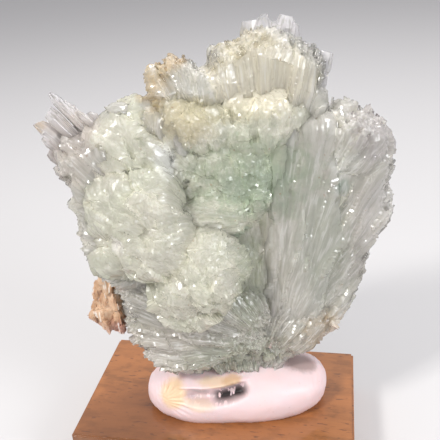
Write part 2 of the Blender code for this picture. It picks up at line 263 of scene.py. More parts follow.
# Single large clear crystals: foot, tip and girth.
BLADES = [
    ((-33.5, -8, 101), (-47.8, -8, 121.8), 5.6),
    ((-34.5, -9, 98), (-48.8, -10, 117.0), 4.8),
    ((-31, -7, 101), (-44.4, -8, 118.4), 5.0),
    ((-29.5, -7, 101), (-41.6, -8, 116.2), 4.8),
    ((-28, -6, 101), (-38.4, -7, 114.8), 4.4),
    ((-36, -9, 95), (-52.5, -9, 113.5), 5.6),
    ((-36, -10, 92), (-51.8, -10, 109.2), 4.8),
    ((-37, -8, 90), (-50.8, -9, 105.0), 4.6),
    ((-37, -10, 88), (-48.6, -10, 100.6), 4.2),
    ((11, 8, 116), (11.8, 9, 135.6), 7.0),
    ((14, 8, 116), (15.6, 9, 136.8), 8.0),
    ((18, 8, 116), (19.0, 9, 134.6), 6.5),
    ((20, 8, 116), (22.6, 9, 136.4), 7.0),
    ((21, 7, 112), (25.4, 9, 133.6), 5.5),
    ((23, 5, 106), (29.0, 4, 128.5), 5.5),
    ((24, 4, 102), (33.0, 3, 126.4), 8.0),
    ((25, 1, 102), (32.4, 0, 120.5), 6.0),
    ((26, -1, 100), (31.5, -2, 115.0), 5.0),
]

GROUPS = (FRONT_MASSES, MIDDLE_MASSES, LEFT_MASSES, CROWN_MASSES, RIGHT_MASSES, LOWER_MASSES, BACK_MASSES)


def deselect_all():
    """Leaves nothing selected, in object mode."""
    if bpy.context.mode != "OBJECT":
        bpy.ops.object.mode_set(mode="OBJECT")
    bpy.ops.object.select_all(action="DESELECT")


def choose(thing):
    """Makes one object the only one that operators act on."""
    deselect_all()
    thing.select_set(True)
    bpy.context.view_layer.objects.active = thing


def pick_verts(thing, wanted):
    """In edit mode, selects the corners whose place passes the test."""
    bpy.ops.mesh.select_mode(type="VERT")
    bpy.ops.mesh.select_all(action="DESELECT")
    shape = bmesh.from_edit_mesh(thing.data)
    for vert in shape.verts:
        vert.select_set(wanted(vert.co))
    shape.select_flush(True)
    bmesh.update_edit_mesh(thing.data)


def name_new(name):
    """Names the object that was just added or joined."""
    thing = bpy.context.active_object
    thing.name = name
    thing.data.name = name
    return thing


def settle(thing, transform=None):
    """Leaves the object at the origin, with its place in its mesh."""
    if transform is not None:
        thing.data.transform(transform)
    choose(thing)
    bpy.ops.object.transform_apply(location=True, rotation=True, scale=True)


def apply_all(thing):
    choose(thing)
    for modifier in list(thing.modifiers):
        bpy.ops.object.modifier_apply(modifier=modifier.name)


def hand_over(thing, material, slot, *nodes):
    """Gives a finished piece its material and its place in the frame."""
    thing.data.materials.clear()
    thing.data.materials.append(material)
    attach(thing, "root")
    if nodes:
        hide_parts(*nodes)


class Mass:
    """A convex mass that needles grow on: tells what is inside it, and gives points of its skin."""

    def __init__(self, spec):
        self.spec = spec
        if isinstance(spec, Ball):
            self.middle = np.array(spec.middle, float)
            self.radii = np.array(spec.radii, float)
            return
        shape = bmesh.new()
        for corner in spec.corners:
            shape.verts.new(corner)
        made = bmesh.ops.convex_hull(shape, input=shape.verts)
        spare = set(made["geom_interior"]) | set(made["geom_unused"])
        spare = [part for part in spare if isinstance(part, bmesh.types.BMVert)]
        bmesh.ops.delete(shape, geom=spare, context="VERTS")
        bmesh.ops.recalc_face_normals(shape, faces=shape.faces)
        self.corners = np.array([[vert.co[:] for vert in face.verts] for face in shape.faces])
        self.normals = np.array([face.normal[:] for face in shape.faces])
        self.heights = np.einsum("ij,ij->i", self.normals, self.corners[:, 0])
        shape.free()

    def depth(self, points):
        """Roughly how many millimetres each point lies inside the mass; negative outside."""
        if isinstance(self.spec, Ball):
            reach = np.linalg.norm((points - self.middle) / self.radii, axis=1)
            return (1 - reach) * self.radii.min()
        return (self.heights - points @ self.normals.T).min(axis=1)

    def cell(self):
        """The area that one needle covers, in square millimetres."""
        spec = self.spec
        return spec.girth * (spec.girth * 3.0 * (1 - spec.lay) + spec.reach * 1.2 * spec.lay)

    def swell(self, points):
        """How far the surface stands out at each point."""
        return lumps(points, SWELL_WIDE, 1) * self.spec.lump

    def skin(self, share, dice):
        """Points over the surface, for a share of the needles that would cover it, and each one's way out."""
        spec = self.spec
        if isinstance(spec, Ball):
            a, b, c = self.radii
            area = 4 * math.pi * (((a * b) ** 1.6 + (a * c) ** 1.6 + (b * c) ** 1.6) / 3) ** (1 / 1.6)
            count = int(area * share / self.cell())
            step = np.arange(count) + 0.5
            up = 1 - 2 * step / count
            around = step * math.pi * (3 - math.sqrt(5))
            flat = np.sqrt(1 - up * up)
            ball = np.stack([flat * np.cos(around), flat * np.sin(around), up], axis=1)
            ball += dice.normal(0, 0.4 / math.sqrt(count), ball.shape)
            ball /= np.linalg.norm(ball, axis=1)[:, None]
            points = self.middle + ball * self.radii
            out = ball / self.radii
            return points, out / np.linalg.norm(out, axis=1)[:, None]
        sides = self.corners[:, 1:] - self.corners[:, :1]
        areas = np.linalg.norm(np.cross(sides[:, 0], sides[:, 1]), axis=1) / 2
        count = int(areas.sum() * share / self.cell())
        face = dice.choice(len(areas), count, p=areas / areas.sum())
        u = dice.random(count)
        v = dice.random(count)
        over = u + v > 1
        u[over] = 1 - u[over]
        v[over] = 1 - v[over]
        points = self.corners[face, 0] + u[:, None] * sides[face, 0] + v[:, None] * sides[face, 1]
        return points, self.normals[face]


def unit(ways):
    return ways / np.maximum(np.linalg.norm(ways, axis=-1, keepdims=True), 1e-9)


def lumps(points, size, seed):
    """Smooth noise from -1 to 1 at each point, with bumps about as wide as size."""
    shift = Vector((seed * 7.3, seed * 3.1, seed * 5.7))
    return np.array([noise.noise(Vector(point) / size + shift) for point in points])


def nearest(points, heads):
    """Which of the chosen points lies nearest to each point."""
    tree = kdtree.KDTree(len(heads))
    for index, head in enumerate(heads):
        tree.insert(points[head], index)
    tree.balance()
    return np.array([tree.find(point)[1] for point in points])


def bundled(points, ways, dice, lean, step):
    """Groups needles into bundles, each with one direction and one height."""
    count = max(int(len(points) / BUNDLE_NEEDLES), 1)
    heads = dice.choice(len(points), count, replace=False)
    group = nearest(points, heads)
    tilt = unit(ways[heads] + dice.normal(0, lean, (count, 3)))
    height = dice.normal(0, step, count)
    return unit(tilt[group] * 0.75 + ways * 0.25), height[group], dice.random(count)[group]


Needles = namedtuple("Needles", "foot tip girth flat turn shade kind")


def varied(foot, tip, girth, shade, dice):
    """Needles of mixed shapes, each turned, flattened and shaded a little differently."""
    size = len(tip)
    return Needles(foot, tip, girth, dice.uniform(0.6, 1.0, size), dice.uniform(0, math.tau, size),
                   shade * 0.7 + dice.random(size) * 0.3, dice.integers(0, len(NEEDLE_SHAPES), size))


def mass_needles(mass, others, share, dice):
    """Needles over a share of the open skin of one mass, grown away from its root."""
    spec = mass.spec
    points, out = mass.skin(share, dice)
    root = np.array(spec.root, float)
    points = points + out * mass.swell(points)[:, None]
    radial = unit(points - root)
    facing = np.einsum("ij,ij->i", radial, out)
    keep = facing > NEEDLE_BACKWARD
    for other in others:
        keep &= other.depth(points) < NEEDLE_BURIED
    if not keep.any():
        return None
    points, out, radial, facing = points[keep], out[keep], radial[keep], facing[keep]
    size = len(points)
    lay = spec.lay * np.clip((LAY_START - facing) / LAY_RANGE, 0, 1)
    lay = np.maximum(lay, spec.tangle)[:, None]
    standing = unit(radial + out * 0.25)
    lying = unit(radial - out * (facing[:, None] - 0.02))
    grown = unit(standing * (1 - lay) + lying * lay)
    ways, height, shade = bundled(points, grown, dice, 0.03 + 0.05 * (1 - spec.lay), spec.rough * 0.6)
    across = unit(dice.normal(0, 1, ways.shape))
    across -= out * np.einsum("ij,ij->i", across, out)[:, None] * 0.8
    ways = unit(ways * (1 - spec.tangle) + across * (spec.tangle + 0.015))
    girth = spec.girth * (1.3 - 0.3 * lay[:, 0]) * np.exp(dice.normal(0, GIRTH_SPREAD, size))
    rise = height + dice.normal(0, spec.rough * 0.2, size)
    lay = lay[:, 0]
    points = points + out * (lay * (rise * 0.3 - girth * 0.5))[:, None]
    reach = spec.reach * dice.uniform(0.7, 1.3, size)
    tip = points + ways * ((1 - lay) * (rise * 0.7) + lay * reach * 0.45)[:, None]
    foot = tip - ways * reach[:, None]
    return varied(foot, tip, girth, shade, dice)


def fan_needles(fan, dice):
    """Needles whose tips follow a fan's edge, in rows through its depth."""
    edge = np.array(fan.edge, float)
    root = np.array(fan.root, float)
    parts = np.linalg.norm(np.diff(edge, axis=0), axis=1)
    far = np.concatenate([[0], np.cumsum(parts)])
    rows = int(fan.depth / fan.spacing)
    across = int(far[-1] / fan.spacing)
    share = np.tile(np.arange(across) + 0.5, rows) + dice.normal(0, 0.3, rows * across)
    row = np.repeat(np.arange(rows), across) + 0.5
    run = np.clip(share / across, 0, 1) * far[-1]
    ends = np.stack([np.interp(run, far, edge[:, axis]) for axis in range(3)], axis=1)
    offset = (row / rows - 0.5) * 2 + dice.normal(0, 0.03, len(row))
    reach = ends - root
    reach *= (1 - fan.droop * offset ** 2)[:, None]
    tips = root + reach
    tips[:, 1] += offset * fan.depth / 2
    ways = unit(tips - root)
    ways, height, shade = bundled(tips, ways, dice, 0.05, 0.9)
    keep = dice.random(len(tips)) < RIM_NEEDLES
    tips, ways, height, shade = tips[keep], ways[keep], height[keep], shade[keep]
    size = len(tips)
    girth = fan.girth * 1.4 * np.exp(dice.normal(0, GIRTH_SPREAD, size))
    tips = tips + ways * (np.minimum(height, 0.4) - np.abs(dice.normal(0, 0.5, size)) - 0.3)[:, None]
    foot = tips - ways * (fan.reach * dice.uniform(0.6, 1.2, size))[:, None]
    return varied(foot, tips, girth, shade, dice)


def model_needle(form):
    """One needle, one unit thick: its shaft runs from 0 to 1, and its tip stands above 1."""
    deselect_all()
    bpy.ops.mesh.primitive_cylinder_add(vertices=form.sides, radius=0.5, depth=1.0, location=(0, 0, 0.5))
    needle = name_new("needle")
    bpy.ops.object.transform_apply(location=True, rotation=True, scale=True)
    bpy.ops.object.mode_set(mode="EDIT")
    pick_verts(needle, lambda spot: spot.z > 0.9)
    bpy.ops.mesh.extrude_region_move(TRANSFORM_OT_translate={"value": (0, 0, form.lift)})
    bpy.ops.transform.resize(value=form.narrow)
    if form.sharp_end:
        bpy.ops.mesh.merge(type="CENTER")
    pick_verts(needle, lambda spot: spot.z < 0.01)
    if form.sharp_foot:
        bpy.ops.mesh.merge(type="CENTER")
    else:
        bpy.ops.transform.resize(value=(0.6, 0.6, 1))
    bpy.ops.mesh.select_all(action="SELECT")
    bpy.ops.mesh.quads_convert_to_tris()
    bpy.ops.mesh.normals_make_consistent(inside=False)
    bpy.ops.object.mode_set(mode="OBJECT")
    return needle


def needle_shapes():
    """The corners and triangles of the needle shapes, which are then taken out of the scene."""
    shapes = []
    for form in NEEDLE_SHAPES:
        needle = model_needle(form)
        corners = np.array([vert.co[:] for vert in needle.data.vertices])
        faces = np.array([face.vertices[:] for face in needle.data.polygons])
        shapes.append((corners, faces))
        bpy.data.objects.remove(needle, do_unlink=True)
    return shapes


def join_needles(name, groups, shapes):
    """One mesh from many needles, with each one's shade and each corner's depth below its tip."""
    needles = Needles(*(np.concatenate(field) for field in zip(*groups)))
    axis = unit(needles.tip - needles.foot)
    helper = np.where(np.abs(axis[:, 2:3]) < 0.8, np.array([[0, 0, 1.0]]), np.array([[1.0, 0, 0]]))
    wide = unit(np.cross(axis, helper))
    thin = np.cross(axis, wide)
    cos = np.cos(needles.turn)[:, None]
    sin = np.sin(needles.turn)[:, None]
    wide, thin = wide * cos + thin * sin, thin * cos - wide * sin
    shaft = np.linalg.norm(needles.tip - needles.foot, axis=1) - needles.girth * 0.4
    all_corners, all_faces, all_shades, all_depths = [], [], [], []
    start = 0
    for kind, (corners, faces) in enumerate(shapes):
        of_kind = np.nonzero(needles.kind == kind)[0]
        count = len(of_kind)
        girth = needles.girth[of_kind][:, None]
        x = corners[None, :, 0] * girth
        y = corners[None, :, 1] * girth * needles.flat[of_kind][:, None]
        up = np.minimum(corners[None, :, 2], 1) * shaft[of_kind][:, None]
        up = up + np.maximum(corners[None, :, 2] - 1, 0) * girth
        made = needles.foot[of_kind][:, None, :] + axis[of_kind][:, None, :] * up[:, :, None]
        made = made + wide[of_kind][:, None, :] * x[:, :, None] + thin[of_kind][:, None, :] * y[:, :, None]
        all_corners.append(made.reshape(-1, 3))
        first = start + np.arange(count)[:, None, None] * len(corners)
        all_faces.append((faces[None] + first).reshape(-1, 3))
        all_shades.append(np.repeat(needles.shade[of_kind], len(corners)))
        all_depths.append(((1 - np.minimum(corners[None, :, 2], 1)) * shaft[of_kind][:, None]).ravel())
        start += count * len(corners)
    corners = np.concatenate(all_corners)
    faces = np.concatenate(all_faces)
    world = np.array(TO_WORLD)
    corners = corners @ world[:3, :3].T + world[:3, 3]
    mesh = bpy.data.meshes.new(name)
    mesh.vertices.add(len(corners))
    mesh.vertices.foreach_set("co", corners.astype(np.float32).ravel())
    mesh.loops.add(len(faces) * 3)
    mesh.loops.foreach_set("vertex_index", faces.astype(np.int32).ravel())
    mesh.polygons.add(len(faces))
    mesh.polygons.foreach_set("loop_start", np.arange(0, len(faces) * 3, 3, dtype=np.int32))
    mesh.update(calc_edges=True)
    thing = bpy.data.objects.new(name, mesh)
    bpy.context.scene.collection.objects.link(thing)
    add_attribute(thing, "shade", np.concatenate(all_shades))
    add_attribute(thing, "depth", np.concatenate(all_depths))
    print(name, "needles", len(needles.girth), "triangles", len(faces))
    return thing


def screen(red, green, blue):
    """A colour as a screen shows it, from 0 to 255, made linear."""
    values = []
    for value in (red, green, blue):
        value /= 255
        values.append(value / 12.92 if value <= 0.04045 else ((value + 0.055) / 1.055) ** 2.4)
    return (*values, 1.0)


class Wires:
    """Adds nodes to one tree and joins them up."""

    def __init__(self, tree):
        self.tree = tree

    def feed(self, socket, value):
        if isinstance(value, bpy.types.NodeSocket):
            self.tree.links.new(value, socket)
        else:
            socket.default_value = value

    def node(self, kind, inputs, **settings):
        made = self.tree.nodes.new("ShaderNode" + kind)
        for name, value in settings.items():
            setattr(made, name, value)
        for name, value in inputs.items():
            self.feed(made.inputs[name], value)
        return made

    def math(self, operation, *values):
        return self.node("Math", dict(enumerate(values)), operation=operation).outputs[0]

    def vector(self, operation, *values):
        return self.node("VectorMath", dict(enumerate(values)), operation=operation)

    def noise(self, place, scale, detail=2.0, roughness=0.5):
        """Smooth noise: how fine it is, how many finer layers it has, and how strong those are."""
        inputs = {"Vector": place, "Scale": scale, "Detail": detail, "Roughness": roughness}
        return self.node("TexNoise", inputs).outputs["Fac"]

    def step(self, value, start, end, low=0.0, high=1.0):
        """Rises smoothly from low to high while value goes from start to end."""
        inputs = {"Value": value, "From Min": start, "From Max": end, "To Min": low, "To Max": high}
        return self.node("MapRange", inputs, interpolation_type="SMOOTHSTEP").outputs["Result"]

    def mix(self, share, first, second, blend="MIX"):
        made = self.node("Mix", {0: share, 6: first, 7: second}, data_type="RGBA", blend_type=blend)
        return made.outputs[2]

    def stretched(self, place, scale):
        return self.node("Mapping", {"Vector": place, "Scale": scale}).outputs["Vector"]

    def bump(self, height, distance, strength):
        inputs = {"Height": height, "Distance": distance, "Strength": strength}
        return self.node("Bump", inputs).outputs["Normal"]

    def fac(self, name):
        """A number that the mesh keeps at each of its points."""
        return self.node("Attribute", {}, attribute_name=name).outputs["Fac"]


def new_material(name, **sockets):
    """A material with one Principled shader, whose plain values are set on its own sockets."""
    material = bpy.data.materials.new(name)
    material.use_nodes = True
    shader = material.node_tree.nodes["Principled BSDF"]
    for socket, value in sockets.items():
        shader.inputs[socket.replace("_", " ")].default_value = value
    wires = Wires(material.node_tree)
    place_of = wires.node("TexCoord", {}).outputs["Object"]
    return material, wires, shader, place_of


# Colours as a screen shows them: crystal at its tips and deep down, the painted glints and painted dark
# reflections streaked along it, the painted light that makes its rims paler, and brown specks.
MINT_PALE = (219, 215, 199)
MINT_DEEP = (186, 193, 168)
SILK_PALE = (218, 214, 204)
SILK_DEEP = (188, 190, 172)
PAINTED_GLINT_PALE = (238, 236, 230)
PAINTED_REFLECTION_DARK = (152, 148, 136)
PAINTED_RIM_GLOW = (228, 224, 218)
SPECK_BROWN = (176, 130, 90)

# How much lighter the loose needles are than the bodies.
NEEDLE_LIFT = 0.45

# A soft-edged patch of colour: where, how far it reaches each way, its colour and its strength. It fades
# between these shares of its reach.
Patch = namedtuple("Patch", "middle radii colour strength")
PATCH_EDGE = (1.15, 0.55)

CRYSTAL_PATCHES = [
    Patch((8, 0, 92), (26, 22, 18), (160, 174, 146), 0.75),
    Patch((10, 0, 89), (14, 22, 11), (148, 170, 144), 0.4),
    Patch((6, -12, 58), (7, 12, 22), (176, 182, 156), 0.7),
    Patch((1, -9, 74.5), (8, 6, 2.5), (146, 166, 142), 0.6),
    Patch((-18, -8, 86), (3, 8, 5), (120, 150, 124), 0.6),
    Patch((-11, -8, 112), (13, 10, 8), (202, 190, 152), 0.75),
    Patch((3, -7, 114), (16, 9, 5), (204, 198, 166), 0.6),
    Patch((-18, -3, 121), (6, 8, 9), (214, 188, 138), 0.85),
    Patch((-13, -3, 130), (7, 8, 5), (212, 182, 132), 0.75),
    Patch((9, 0, 131), (11, 12, 4.5), (224, 212, 176), 0.6),
    Patch((13, -5, 121), (22, 9, 11), (246, 238, 214), 0.85),
    Patch((-52, -8, 112.5), (2.4, 6, 3), (216, 184, 136), 0.6),
    Patch((27, 0, 33), (17, 14, 11), (206, 180, 144), 0.9),
    Patch((46, 2, 100), (12, 14, 12), (188, 180, 180), 0.8),
    Patch((46, 0, 68), (10, 14, 24), (192, 184, 174), 0.5),
    Patch((38.5, -5, 94), (6, 10, 6), (236, 236, 228), 0.8),
    Patch((38, -2, 86), (4, 10, 3.5), (160, 180, 166), 0.6),
    Patch((-32, -20, 78), (2.5, 5, 4), (244, 240, 232), 0.9),
    Patch((-35, -16, 87), (3.5, 6, 2.5), (242, 240, 234), 0.8),
    Patch((-16.5, -12, 100), (3.5, 6, 7), (236, 236, 230), 0.7),
    Patch((-43, -8, 104), (12, 9, 16), (212, 200, 192), 0.7),
    Patch((-22, -6, 36), (18, 14, 18), (226, 218, 206), 0.7),
    Patch((-2, -8, 26), (24, 14, 12), (168, 176, 154), 0.6),
    Patch((30, -6, 66), (12, 10, 26), (186, 192, 174), 0.5),
    Patch((21, -10, 50), (7, 8, 16), (226, 222, 210), 0.5),
    Patch((50, 2, 74), (7, 14, 22), (226, 222, 218), 0.5),
]


def new_group(name, inputs, outputs):
    """An empty node group with named sockets, a way to add nodes to it, and what it is given."""
    tree = bpy.data.node_groups.new(name, "ShaderNodeTree")
    for in_out, sockets in (("INPUT", inputs), ("OUTPUT", outputs)):
        for label, kind in sockets.items():
            tree.interface.new_socket(label, in_out=in_out, socket_type="NodeSocket" + kind)
    return tree, Wires(tree), tree.nodes.new("NodeGroupInput").outputs


def patches_group(name, patches, ragged):
    """A node group that lays coloured patches with torn, soft edges over a colour."""
    tree, wires, given = new_group(name, {"Place": "Vector", "Colour": "Color"}, {"Colour": "Color"})
    place_in = given["Place"]
    colour = given["Colour"]
    torn = wires.math("MULTIPLY_ADD", wires.noise(place_in, 260.0, 3.0, 0.6), ragged, -ragged / 2)
    for patch in patches:
        middle = place(*patch.middle)
        shrink = Vector([1 / (radius * MM) for radius in patch.radii])
        back = Vector([-a * b for a, b in zip(middle, shrink)])
        near = wires.vector("MULTIPLY_ADD", place_in, shrink, back)
        reach = wires.vector("LENGTH", near.outputs[0]).outputs["Value"]
        mask = wires.step(wires.math("ADD", reach, torn), *PATCH_EDGE, 0.0, patch.strength)
        colour = wires.mix(mask, colour, screen(*patch.colour))
    tree.links.new(colour, tree.nodes.new("NodeGroupOutput").inputs["Colour"])
    return tree


def use_group(wires, tree, **inputs):
    """Places a node group in a material and feeds it."""
    made = wires.tree.nodes.new("ShaderNodeGroup")
    made.node_tree = tree
    for name, value in inputs.items():
        wires.feed(made.inputs[name], value)
    return made


def crystal_tint_group():
    """Mint crystal: pale at the tips, greener deep down, stained in places and uneven in shade."""
    inputs = {"Tip": "Color", "Deep": "Color", "Place": "Vector", "Shade": "Float", "Depth": "Float"}
    tree, wires, given = new_group("Crystal Tint", inputs, {"Colour": "Color", "Roughness": "Float"})
    sunk = wires.step(given["Depth"], 0.5, 9.0)
    cloud = wires.noise(given["Place"], 90.0, 3.0)
    tip = wires.mix(wires.step(cloud, 0.35, 0.65, 0.0, 0.35), given["Tip"], given["Deep"])
    colour = wires.mix(wires.math("MULTIPLY", sunk, 0.6), tip, given["Deep"])
    patches = use_group(wires, patches_group("Crystal Patches", CRYSTAL_PATCHES, 0.9),
                        Place=given["Place"], Colour=colour)
    colour = patches.outputs["Colour"]
    specks = wires.step(wires.noise(given["Place"], 700.0, 1.0), 0.74, 0.8)
    colour = wires.mix(wires.math("MULTIPLY", specks, 0.5), colour, screen(*SPECK_BROWN))
    lift = wires.math("MULTIPLY_ADD", given["Shade"], 0.3, 0.62)
    bright = wires.node("HueSaturation", {"Value": lift, "Color": colour}).outputs["Color"]
    done = tree.nodes.new("NodeGroupOutput").inputs
    tree.links.new(bright, done["Colour"])
    tree.links.new(wires.step(given["Shade"], 0.0, 1.4, 0.05, 0.22), done["Roughness"])
    return tree


def crystal_material(name, tip, deep, milk, clarity):
    """milk is the share of light that scatters inside, clarity the share that passes through."""
    material, wires, shader, place_of = new_material(
        name, IOR=1.53, Subsurface_Weight=milk, Subsurface_Radius=(0.9, 1.0, 0.85), Subsurface_Scale=0.002,
        Transmission_Weight=clarity)
    shader.subsurface_method = "BURLEY"
    tree = bpy.data.node_groups.get("Crystal Tint") or crystal_tint_group()
    shade = wires.math("ADD", wires.fac("shade"), NEEDLE_LIFT)
    tint = use_group(wires, tree, Tip=screen(*tip), Deep=screen(*deep), Place=place_of, Shade=shade,
                     Depth=wires.fac("depth"))
    wires.feed(shader.inputs["Base Color"], tint.outputs["Colour"])
    wires.feed(shader.inputs["Roughness"], tint.outputs["Roughness"])
    return material


def body_material(name, tip, deep, milk, clarity, painted_streak_share, lift=0.0):
    """Pale fibres that run out from each root, greener between them; light scatters and passes inside. Pale
    and dark streaks along the fibres are painted glints and painted dark reflections, and the rims are
    painted paler.
    """
    material, wires, shader, place_of = new_material(
        name, IOR=1.53, Subsurface_Weight=milk, Subsurface_Radius=(1.0, 1.0, 0.9), Subsurface_Scale=0.005,
        Transmission_Weight=clarity, Coat_Weight=0.7, Coat_Roughness=0.11)
    shader.subsurface_method = "BURLEY"
    ray = wires.node("Attribute", {}, attribute_name="ray").outputs["Vector"]
    fibre = wires.noise(ray, 75.0, 3.0, 0.5)
    plates = wires.node("TexVoronoi", {"Vector": ray, "Scale": 34.0}, distance="CHEBYCHEV")
    bands = wires.math("ADD", wires.noise(ray, 22.0, 2.0), lift)
    tree = bpy.data.node_groups.get("Crystal Tint") or crystal_tint_group()
    depth = wires.step(fibre, 0.62, 0.38, 0.0, 4.0)
    tint = use_group(wires, tree, Tip=screen(*tip), Deep=screen(*deep), Place=place_of, Shade=bands,
                     Depth=depth)
    colour = tint.outputs["Colour"]
    # Painted highlights: pale streaks along the fibres stand for glints, dark streaks for dark reflections in
    # glassy crystal.
    painted_streaks = wires.noise(ray, 60.0, 3.0, 0.5)
    colour = wires.mix(wires.step(painted_streaks, 0.52, 0.68, 0.0, painted_streak_share), colour, screen(*PAINTED_GLINT_PALE))
    colour = wires.mix(wires.step(painted_streaks, 0.48, 0.34, 0.0, painted_streak_share), colour, screen(*PAINTED_REFLECTION_DARK))
    # Painted light: the fan rims are painted paler, standing for light that passes through the thin edges.
    colour = wires.mix(wires.math("MULTIPLY", wires.fac("rim"), 0.2), colour, screen(*PAINTED_RIM_GLOW))
    wires.feed(shader.inputs["Base Color"], colour)
    wires.feed(shader.inputs["Roughness"], wires.step(fibre, 0.4, 0.6, 0.26, 0.1))
    height = wires.math("MULTIPLY_ADD", plates.outputs["Distance"], 0.7, fibre)
    wires.feed(shader.inputs["Normal"], wires.bump(height, 0.0005, 0.5))
    return material


# How each crystal finish is made: its colour at the tips and deep down, the shares of light that scatter and
# pass inside, and for bodies how strongly painted glints and painted dark reflections streak them and how
# light they are.
FINISHES = {
    "milky_body": (body_material, MINT_PALE, MINT_DEEP, 1.0, 0.25, 0.15),
    "silky_body": (body_material, SILK_PALE, SILK_DEEP, 1.0, 0.4, 0.35),
    # This body carries the strongest painted glints and painted dark reflections.
    "glint_painted_body": (body_material, SILK_PALE, SILK_DEEP, 1.0, 0.4, 0.6),
    "clear_body": (body_material, (250, 248, 248), (226, 222, 226), 0.5, 0.65, 0.5, 0.5),
    "milky_crystal": (crystal_material, MINT_PALE, MINT_DEEP, 0.7, 0.35),
    "silky_crystal": (crystal_material, (248, 246, 242), (228, 226, 218), 0.2, 0.8),
}


def finish(name):
    """The material of that name, made the first time it is asked for."""
    maker, *values = FINISHES[name]
    return bpy.data.materials.get(name) or maker(name, *values)


# Painted shadow: where the block's wood is darker, over its left end.
WOOD_SHADOW_PATCHES = [Patch((-40, -12, -4), (26, 26, 30), (118, 70, 36), 0.6)]


def varnished_wood(tone):
    """Orange-brown wood under clear varnish, with short dark pores along the block and a painted shadow over
    its left end.
    """
    material, wires, shader, place_of = new_material(
        "varnished_wood", Roughness=0.35, Coat_Weight=0.9, Coat_Roughness=0.06, Coat_IOR=1.5)
    rings = wires.noise(wires.stretched(place_of, (8, 34, 34)), 4.0, 3.0, 0.5)
    mottle = wires.noise(wires.stretched(place_of, (60, 110, 110)), 2.0, 4.0, 0.6)
    pores = wires.noise(wires.stretched(place_of, (260, 900, 900)), 1.0, 2.0, 0.5)
    fibre = wires.noise(wires.stretched(place_of, (80, 1100, 1100)), 1.0, 3.0, 0.6)
    light = tuple(min(channel * 1.35, 1.0) for channel in tone[:3]) + (1.0,)
    dark = tuple(channel * 0.5 for channel in tone[:3]) + (1.0,)
    colour = wires.mix(wires.step(rings, 0.3, 0.7, 0.25, 0.75), dark, light)
    colour = wires.mix(wires.step(mottle, 0.36, 0.64, 0.0, 0.75), colour, tone)
    colour = wires.mix(wires.step(mottle, 0.52, 0.4, 0.0, 0.35), colour, dark)
    colour = wires.mix(wires.step(fibre, 0.4, 0.7, 0.0, 0.25), colour, light)
    # Painted shadow darkening the left end of the block.
    patches = use_group(wires, patches_group("Wood Painted Shadow", WOOD_SHADOW_PATCHES, 0.8), Place=place_of,
                        Colour=colour)
    colour = patches.outputs["Colour"]
    mask = wires.step(pores, 0.62, 0.7, 0.0, 0.7)
    colour = wires.mix(mask, colour, screen(96, 58, 36))
    height = wires.math("MULTIPLY_ADD", mask, -0.5, fibre)
    wires.feed(shader.inputs["Base Color"], colour)
    wires.feed(shader.inputs["Normal"], wires.bump(height, 0.00006, 0.6))
    return material


PUTTY_PATCHES = [
    Patch((-22, -11, 11), (6, 6, 6), (228, 196, 146), 0.75),
    Patch((-14, -16, 9), (7, 5, 3), (232, 208, 172), 0.5),
    Patch((-5, -13, 16), (10, 4, 2.6), (226, 200, 170), 0.8),
    Patch((-1, -12, 16), (4, 4, 2.4), (206, 168, 128), 0.7),
    Patch((24, -4, 15), (8, 5, 3), (150, 128, 122), 0.75),
    # Painted shade in the left part of the gouge.
    Patch((-13, -15, 12), (5, 5, 2.5), (196, 184, 186), 0.8),
]


def pressed_putty(tone):
    """Soft pinkish-white putty: smooth and a little waxy, stained ochre where it was handled, with painted
    shade darkening its gouge in streaks.
    """
    material, wires, shader, place_of = new_material(
        "pressed_putty", Roughness=0.42, Subsurface_Weight=0.35, Subsurface_Radius=(1.0, 0.6, 0.5),
        Subsurface_Scale=0.002)
    cloud = wires.noise(place_of, 70.0, 3.0)
    colour = wires.mix(wires.step(cloud, 0.3, 0.7, 0.0, 0.5), tone, screen(226, 210, 214))
    patches = use_group(wires, patches_group("Putty Patches", PUTTY_PATCHES, 0.8), Place=place_of,
                        Colour=colour)
    colour = patches.outputs["Colour"]
    painted_streaks = wires.noise(wires.stretched(place_of, (700, 260, 260)), 1.0, 2.0)
    # Painted shade: the gouge under the lip is painted near black in streaks, less so at its left end.
    dark = wires.math("MULTIPLY", wires.fac("painted_gouge_shade"), wires.step(painted_streaks, 0.37, 0.46))
    colour = wires.mix(dark, colour, screen(34, 28, 28))
    dust = wires.math("MULTIPLY", wires.step(wires.noise(place_of, 900.0, 2.0), 0.68, 0.76), 0.25)
    colour = wires.mix(dust, colour, screen(170, 140, 130))
    wires.feed(shader.inputs["Base Color"], colour)
    wires.feed(shader.inputs["Normal"], wires.bump(wires.noise(place_of, 1400.0, 3.0), 0.00008, 0.5))
    return material


def stained_rock():
    """Orange-brown rock with pale upright streaks and a mauve foot."""
    material, wires, shader, place_of = new_material(
        "stained_rock", Roughness=0.7, Subsurface_Weight=0.15, Subsurface_Radius=(1.0, 0.6, 0.4),
        Subsurface_Scale=0.001)
    cloud = wires.noise(place_of, 160.0, 4.0, 0.6)
    streak = wires.noise(wires.stretched(place_of, (900, 900, 90)), 1.0, 2.0)
    grain = wires.noise(place_of, 1300.0, 3.0, 0.7)
    colour = wires.mix(wires.step(cloud, 0.35, 0.65), screen(180, 134, 98), screen(214, 182, 152))
    height = wires.node("SeparateXYZ", {"Vector": place_of}).outputs["Z"]
    height = wires.math("MULTIPLY_ADD", cloud, 0.012, height)
    mauve = wires.step(height, place(0, 0, 50).z, place(0, 0, 42).z, 0.0, 0.7)
    colour = wires.mix(mauve, colour, screen(172, 134, 128))
    colour = wires.mix(wires.step(streak, 0.58, 0.68, 0.0, 0.8), colour, screen(236, 228, 218))
    colour = wires.mix(wires.step(streak, 0.38, 0.3, 0.0, 0.6), colour, screen(120, 84, 66))
    wires.feed(shader.inputs["Base Color"], colour)
    wires.feed(shader.inputs["Normal"], wires.bump(grain, 0.0003, 0.8))
    return material


